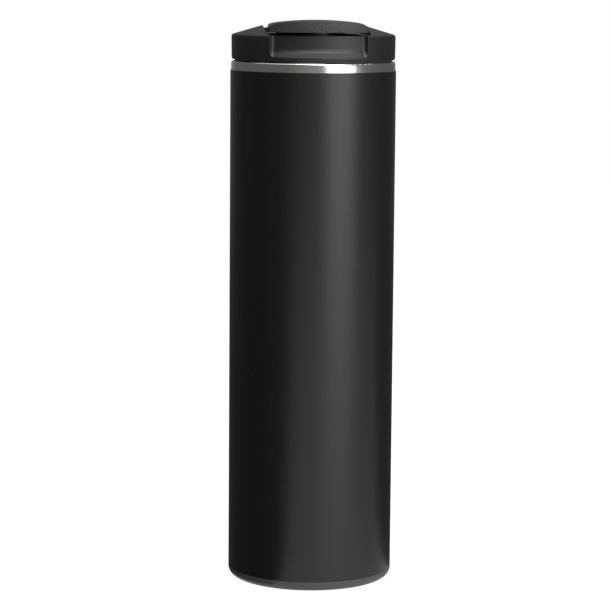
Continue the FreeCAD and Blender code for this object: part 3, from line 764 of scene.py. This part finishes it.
# ---------------------------------------------------------------- lever
@dataclass
class Lever:
    """Flip-up lever: crowned soft cover, rigid core, peg and silicone stoppers."""

    touch: SoftTouch = SoftTouch()
    core: Moulding = Moulding("core_plastic", (0.009, 0.009, 0.0095), 0.38, 0.2 * MM, 0.003 * MM, 0.3 * MM)
    rubber: Moulding = Moulding("stopper_silicone", (0.03, 0.03, 0.031), 0.42, 0.5 * MM, 0.003 * MM)
    columns: int = 28
    rows: int = 24
    across: float = 145.0 * MM
    along: float = 350.0 * MM
    crest: float = 20.0 * MM
    nose_radius: float = 43.0 * MM
    front_half: float = 21.2 * MM
    rear_half: float = 19.2 * MM
    flare: float = 0.8 * MM
    flare_ahead: float = 5.0 * MM
    plate_end: float = 14.5 * MM
    tongue_half: float = 15.0 * MM
    edge_height: float = 2.5 * MM
    slope: float = 0.586  # rise of the side shoulders for each unit inwards
    edge: float = 0.7 * MM
    crease: float = 0.25 * MM  # softness where shoulder and crown meet
    core_proud: float = 0.05 * MM  # core under the cover's edge
    cup: float = 6.0 * MM
    cup_dome: float = 1.2 * MM
    cup_groove: float = 0.35 * MM
    cup_flange: float = 0.8 * MM
    cup_lip: float = 0.2 * MM
    first_bead: float = 1.35 * MM
    bead_step: float = 0.3 * MM
    tongue_rows: int = 4

    def dress(self) -> None:
        """Finish the CAD nodes that stay."""
        core = self.core.material()
        for node in ("lever_core", "stopper_peg"):
            dress(node, core)
        dress("vent_stopper", self.rubber.material())

    def top(self, x: float, y: float, low: float, high: float) -> float:
        """Height of the crowned top with its sloping side shoulders.

        Args:
            x: place across the lever.
            y: place along it.
            low: height of the underside.
            high: height of the crown's peak.

        Returns:
            The height in metres.
        """
        crown = high - x * x / (2 * self.across) - (y + self.crest) ** 2 / (2 * self.along)
        side = low + self.edge_height + self.slope * (self.front_half - abs(x))
        gap = crown - side
        return crown - (gap + math.hypot(gap, self.crease)) / 2

    def half_width(self, y: float) -> float:
        """Half width of the plate, which narrows towards the hinge.

        Args:
            y: place along the lever.

        Returns:
            The half width in metres.
        """
        share = (self.plate_end - y) / (self.plate_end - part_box("lever_cover")[0].y + self.flare_ahead)
        growth = self.front_half + self.flare - self.rear_half
        return min(self.front_half, self.rear_half + growth * share)

    def cover(self) -> None:
        """Soft cover: a grid shaped in plan, pulled back into the tongue, deepened and crowned."""
        low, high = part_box("lever_cover")
        bpy.ops.object.select_all(action="DESELECT")
        bpy.ops.mesh.primitive_grid_add(x_subdivisions=self.columns, y_subdivisions=self.rows, size=2.0)
        piece = start_primitive("lever_skin")
        axis = low.y + self.nose_radius
        under = low.z + self.core_proud
        for vertex in piece.data.vertices:
            share = (vertex.co.y + 1.0) / 2.0
            rough = low.y + (self.plate_end - low.y) * share
            x = vertex.co.x * self.half_width(rough)
            ahead = axis - math.sqrt(self.nose_radius ** 2 - x * x)
            y = ahead + (self.plate_end - ahead) * share
            vertex.co = (vertex.co.x * self.half_width(y), y, under)
        self._pull_tongue(piece, self.tongue_half, high.y)
        self._deepen(piece, under, high.z)
        recalculate(piece)
        apply_modifier(piece, "BEVEL", {
            "width": self.edge, "segments": 4, "limit_method": "ANGLE", "angle_limit": math.radians(50.0),
        })
        settle(piece, "lever", "soft_touch", self.touch.material(), "lever_cover")

    def _pull_tongue(self, piece: bpy.types.Object, half: float, end: float) -> None:
        """Pull the middle of the rear edge back into the hinge tongue.

        Args:
            piece: the flat plate.
            half: half width of the tongue.
            end: rear edge of the tongue.
        """
        mesh = piece.data
        rear = [v for v in mesh.vertices if abs(v.co.y - self.plate_end) < 0.01 * MM]
        near = max(abs(v.co.x) for v in rear if abs(v.co.x) < half)
        bpy.ops.object.mode_set(mode="EDIT")
        bpy.ops.mesh.select_mode(type="VERT")
        bpy.ops.mesh.select_all(action="DESELECT")
        bpy.ops.object.mode_set(mode="OBJECT")
        for vertex in mesh.vertices:
            if abs(vertex.co.y - self.plate_end) > 0.01 * MM:
                continue
            if abs(abs(vertex.co.x) - near) < 0.01 * MM:
                vertex.co.x = math.copysign(half, vertex.co.x)
            vertex.select = abs(vertex.co.x) < half + 0.01 * MM
        bpy.ops.object.mode_set(mode="EDIT")
        step = (end - self.plate_end) / self.tongue_rows
        for _ in range(self.tongue_rows):
            bpy.ops.mesh.extrude_region_move(TRANSFORM_OT_translate={"value": (0.0, step, 0.0)})
        bpy.ops.object.mode_set(mode="OBJECT")

    def _deepen(self, piece: bpy.types.Object, low: float, high: float) -> None:
        """Give the plan its thickness and crown its upper side.

        Args:
            piece: the flat plan.
            low: height of the underside.
            high: height of the crown's peak.
        """
        bpy.ops.object.select_all(action="DESELECT")
        piece.select_set(True)
        bpy.context.view_layer.objects.active = piece
        bpy.ops.object.mode_set(mode="EDIT")
        bpy.ops.mesh.select_mode(type="FACE")
        bpy.ops.mesh.select_all(action="SELECT")
        bpy.ops.mesh.extrude_region_move(TRANSFORM_OT_translate={"value": (0.0, 0.0, high - low)})
        bpy.ops.object.mode_set(mode="OBJECT")
        for vertex in piece.data.vertices:
            if vertex.co.z > low + 1 * MM:
                vertex.co.z = self.top(vertex.co.x, vertex.co.y, low, high)

    def stopper(self) -> None:
        """Silicone stopper: domed cup with two sealing beads and a covering flange."""
        low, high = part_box("drink_stopper")
        centre = ((low.x + high.x) / 2, (low.y + high.y) / 2)
        flange = high.x - centre[0]
        groove = self.cup - self.cup_groove
        seat = high.z - self.cup_flange
        angles = [math.radians(15 * i) for i in range(1, 6)]
        dome = [(self.cup * math.sin(a), low.z + self.cup_dome * (1 - math.cos(a))) for a in angles]
        beads = [(self.cup if k % 2 else groove, low.z + self.first_bead + self.bead_step * k)
                 for k in range(5)]
        skirt = [(groove, seat), (flange - self.cup_lip, seat), (flange, seat + self.cup_lip),
                 (flange, high.z)]
        profile = [(0.0, low.z)] + dome + beads + skirt + [(0.0, high.z)]
        piece = turned("stopper_cup", centre, profile, 64)
        settle(piece, "lever", "silicone", self.rubber.material(), "drink_stopper")


# ---------------------------------------------------------------- studio
@dataclass
class Softbox:
    """Rectangular studio lamp that faces the flask."""

    name: str
    azimuth: float
    height: float
    distance: float
    size: tuple[float, float]
    power: float
    target: float = 0.14

    def build(self) -> None:
        """Add the lamp: azimuth 0 is in front of the lid's scoop, positive to the right."""
        turn = math.radians(self.azimuth)
        spot = Vector((math.sin(turn) * self.distance, -math.cos(turn) * self.distance, self.height))
        bpy.ops.object.light_add(type="AREA", location=spot)
        lamp = bpy.context.object
        lamp.name = self.name
        lamp.data.shape = "RECTANGLE"
        lamp.data.size, lamp.data.size_y = self.size
        lamp.data.energy = self.power
        aim = Vector((0.0, 0.0, self.target)) - spot
        lamp.rotation_euler = aim.to_track_quat("-Z", "Y").to_euler()
        LOG.info("lamp %s", self.name)


@dataclass
class Flag:
    """Curved board that only reflections see, with an even brightness.

    It runs between two azimuths, in degrees from the front towards the right, and between two
    curved edges, each a (radius, height) about the flask's axis.
    """

    name: str
    start: float
    end: float
    radiance: float
    edges: tuple[tuple[float, float], tuple[float, float]] = ((1.5, 0.0), (1.5, 1.6))

    def build(self) -> None:
        """Add the board."""
        steps = max(2, int((self.end - self.start) / 6))
        turns = [math.radians(self.start + (self.end - self.start) * i / steps) for i in range(steps + 1)]
        points = [(math.sin(t) * radius, -math.cos(t) * radius, height)
                  for radius, height in self.edges for t in turns]
        faces = [(i, i + 1, steps + 2 + i, steps + 1 + i) for i in range(steps)]
        mesh = bpy.data.meshes.new(self.name)
        mesh.from_pydata(points, [], faces)
        board = bpy.data.objects.new(self.name, mesh)
        bpy.context.scene.collection.objects.link(board)
        graph = Graph(self.name)
        glow = graph.node("Emission", None, {"Color": WHITE, "Strength": self.radiance})
        graph.node("OutputMaterial", None, {"Surface": glow})
        mesh.materials.append(graph.material)
        board.visible_camera = False
        board.visible_diffuse = False
        board.visible_shadow = False
        board.visible_transmission = False
        LOG.info("board %s", self.name)


ON_FLOOR = ((36.7 * MM, 0.5 * MM), (1.5, 0.5 * MM))


@dataclass
class Studio:
    """Camera, pale floor, soft light and white surroundings."""

    focal: float = 141.87
    sensor: float = 36.0
    offset: float = -2.79 * MM
    distance: float = 1062.6 * MM
    height: float = 264.0 * MM
    pitch: float = 7.612
    roll: float = 0.466
    azimuth: float = -4.6
    floor_drop: float = 0.02 * MM
    floor_grey: float = 0.85
    floor_glow: float = 1.18
    floor_glow_share: float = 0.8
    ambient: float = 0.35
    lamps: list[Softbox] = field(default_factory=lambda: [
        Softbox("key_box", 34.0, 0.55, 1.15, (0.85, 1.3), 14.0, 0.16),
        Softbox("top_box", 25.0, 1.25, 0.4, (0.9, 0.9), 18.0, 0.2),
    ])
    flags: list[Flag] = field(default_factory=lambda: [
        Flag("left_flag", -150.0, -20.0, 0.13),
        Flag("front_flag", -20.0, 66.0, 0.16),
        Flag("right_flag", 66.0, 150.0, 0.12),
        Flag("back_flag", 150.0, 210.0, 0.22),
    ])
    # Painted light and shade of the floor for reflections: glowing sheets, bright in front and to the right
    # where the key lamp falls, dark around the rest
    floor_light_sheets: list[Flag] = field(default_factory=lambda: [
        Flag("left_floor_shade", 95.0, 328.0, 0.08, ON_FLOOR),
        Flag("front_floor_light", -32.0, 60.0, 1.2, ON_FLOOR),
        Flag("right_floor_light", 60.0, 95.0, 0.85, ON_FLOOR),
    ])

    def camera(self) -> None:
        """Place the camera from its fitted height, distance, pitch and roll."""
        pitch, roll, turn = (math.radians(a) for a in (self.pitch, self.roll, self.azimuth))
        ahead = Vector((0.0, math.cos(pitch), -math.sin(pitch)))
        right = Vector((1.0, 0.0, 0.0))
        up = right.cross(ahead)
        side = math.cos(roll) * right + math.sin(roll) * up
        head = -math.sin(roll) * right + math.cos(roll) * up
        axes = Matrix((side, head, -ahead)).transposed().to_4x4()
        place = Matrix.Translation((self.offset, -self.distance, self.height)) @ axes
        data = bpy.data.cameras.new("camera")
        data.sensor_width = self.sensor
        data.lens = self.focal
        data.clip_start = 0.01
        camera = bpy.data.objects.new("camera", data)
        camera.matrix_world = Matrix.Rotation(turn, 4, "Z") @ place
        bpy.context.scene.collection.objects.link(camera)
        bpy.context.scene.camera = camera

    def floor(self) -> None:
        """Pale floor that keeps the flask's shadow."""
        bpy.ops.mesh.primitive_plane_add(size=8.0, location=(0.0, 0.0, -self.floor_drop))
        plane = bpy.context.object
        plane.name = "floor"
        graph = Graph("pale_floor")
        grey = (self.floor_grey, self.floor_grey, self.floor_grey, 1.0)
        share = self.seen(graph) * self.floor_glow_share
        lit = graph.node("BsdfDiffuse", None, {"Color": grey})
        pale = graph.node("Emission", None, {"Color": WHITE, "Strength": self.floor_glow})
        mixed = graph.node("MixShader", None, {0: share, 1: lit, 2: pale})
        graph.node("OutputMaterial", None, {"Surface": mixed})
        plane.data.materials.append(graph.material)

    def world(self) -> None:
        """White surroundings for what is seen, a plain level for what is lit."""
        world = bpy.data.worlds.new("studio")
        bpy.context.scene.world = world
        graph = Graph("studio", world)
        lit = graph.node("Background", None, {"Color": WHITE, "Strength": self.ambient})
        white = graph.node("Background", None, {"Color": WHITE})
        mixed = graph.node("MixShader", None, {0: self.seen(graph), 1: lit, 2: white})
        graph.node("OutputWorld", None, {"Surface": mixed})

    @staticmethod
    def seen(graph: Graph) -> Signal:
        """Which rays look rather than light.

        Args:
            graph: the material or world that asks.

        Returns:
            One for camera, glossy and transmission rays, zero for the rest.
        """
        camera, glossy, through = (graph.node("LightPath", output=f"Is {kind} Ray")
                                   for kind in ("Camera", "Glossy", "Transmission"))
        return camera + glossy + through

    def build(self) -> None:
        """Set the whole stage."""
        self.camera()
        self.floor()
        # Glowing floor sheets: painted light and shade of the floor, seen only in reflections
        for floor_sheet in self.floor_light_sheets:
            floor_sheet.build()
        self.world()
        for item in self.lamps + self.flags:
            item.build()
        bpy.context.scene.view_settings.view_transform = "Standard"


def main() -> None:
    """Build and dress the flask, then light it."""
    logging.basicConfig(level=logging.INFO, format="%(name)s: %(message)s")
    bpy.ops.object.select_all(action="DESELECT")
    Flask().dress()
    lid = Lid()
    lid.dress()
    lid.skin()
    lid.gasket()
    lever = Lever()
    lever.dress()
    lever.cover()
    lever.stopper()
    Studio().build()


if __name__ == "__main__":
    main()
